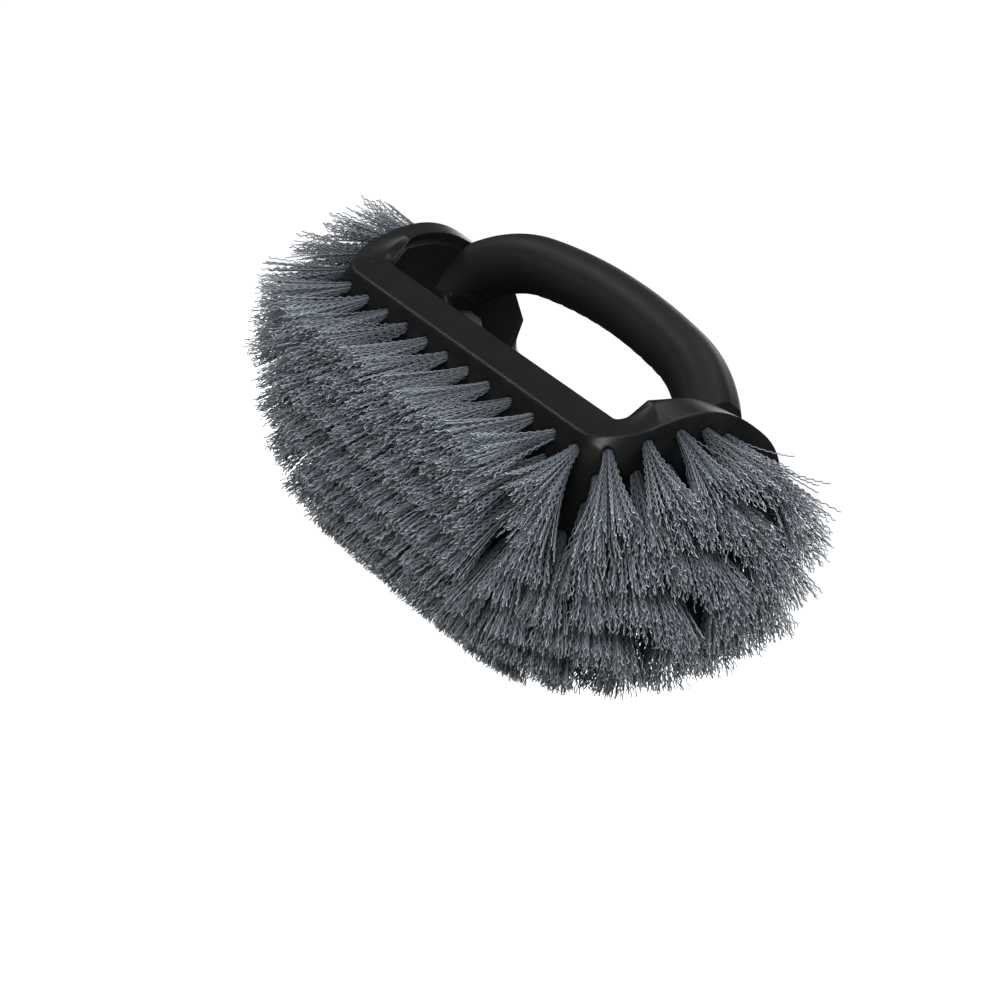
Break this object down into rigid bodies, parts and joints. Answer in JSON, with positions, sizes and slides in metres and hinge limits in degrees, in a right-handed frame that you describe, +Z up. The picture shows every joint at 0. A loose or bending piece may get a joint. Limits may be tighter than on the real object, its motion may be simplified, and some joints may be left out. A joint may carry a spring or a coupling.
{
  "type": "wheel brush",
  "caption": "Hand brush for washing wheels: boat-shaped bristle block with raised ends, bridged by a soft-grip D handle.",
  "frame": {"origin": "on the ground under the middle of the brush, where its trimmed bottom tufts stand", "axes": "+Z up, through the handle; +X along the block's long axis"},
  "size_m": [0.2426, 0.1602, 0.1448],
  "materials": {
    "block_plastic": "satin black moulded plastic with a fine grain",
    "handle_plastic": "satin black moulded plastic",
    "grip_rubber": "soft-touch black",
    "screw_steel": "plain steel",
    "anchor_wire": "drawn flat wire",
    "bristle": "crimped grey-blue filament"
  },
  "bodies": {
    "root": {"block": "block_plastic", "handle_core": "handle_plastic", "grip_sleeve": "grip_rubber", "handle_screws": "screw_steel", "tufts_row_1": "bristle", "tufts_row_2": "bristle", "tufts_row_3": "bristle", "tufts_row_4": "bristle", "tufts_row_5": "bristle", "tufts_row_6": "bristle", "tufts_row_7": "bristle", "tufts_row_8": "bristle", "anchors_row_1": "anchor_wire", "anchors_row_2": "anchor_wire", "anchors_row_3": "anchor_wire", "anchors_row_4": "anchor_wire", "anchors_row_5": "anchor_wire", "anchors_row_6": "anchor_wire", "anchors_row_7": "anchor_wire", "anchors_row_8": "anchor_wire"}
  },
  "joints": []
}
